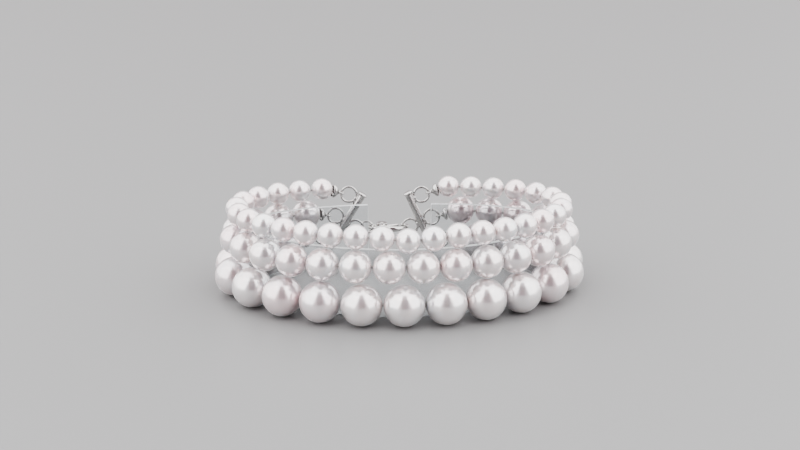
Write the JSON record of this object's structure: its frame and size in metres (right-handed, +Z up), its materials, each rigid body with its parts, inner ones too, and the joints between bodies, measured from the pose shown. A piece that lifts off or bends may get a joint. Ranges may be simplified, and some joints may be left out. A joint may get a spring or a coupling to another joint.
{
  "type": "pearl bracelet on clear display band",
  "caption": "Graduated multi-strand pearl bracelet with end bars and a lobster clasp, fastened round a clear plastic display band.",
  "frame": {"origin": "middle of the bracelet's footprint, on the surface it stands on", "axes": "+X along the oval's long side, +Y towards the clasp at the back, +Z up"},
  "size_m": [0.0778, 0.049, 0.0192],
  "materials": {
    "pearl": "pearl lustre",
    "silver": "polished",
    "clear_plastic": "clear gloss"
  },
  "bodies": {
    "bracelet": {"display_band": "clear_plastic", "pearl_strand_bottom": "pearl", "bead_tip_left_bottom": "silver", "bead_tip_right_bottom": "silver", "pearl_strand_middle": "pearl", "bead_tip_left_middle": "silver", "bead_tip_right_middle": "silver", "pearl_strand_top": "pearl", "bead_tip_left_top": "silver", "bead_tip_right_top": "silver", "end_bar_left": "silver", "end_bar_right": "silver", "clasp_body": "silver", "clasp_link": "silver"},
    "lever": {"clasp_lever": "silver"}
  },
  "joints": [
    {"name": "clasp_lever_hinge", "type": "hinge", "parent": "bracelet", "child": "lever", "pos_m": [-0.0032, 0.02115, 0.0075], "axis": [0, 0, -1], "range_deg": [0, 25], "stiffness_Nm_per_rad": 0.004, "springref_deg": -17.19}
  ]
}
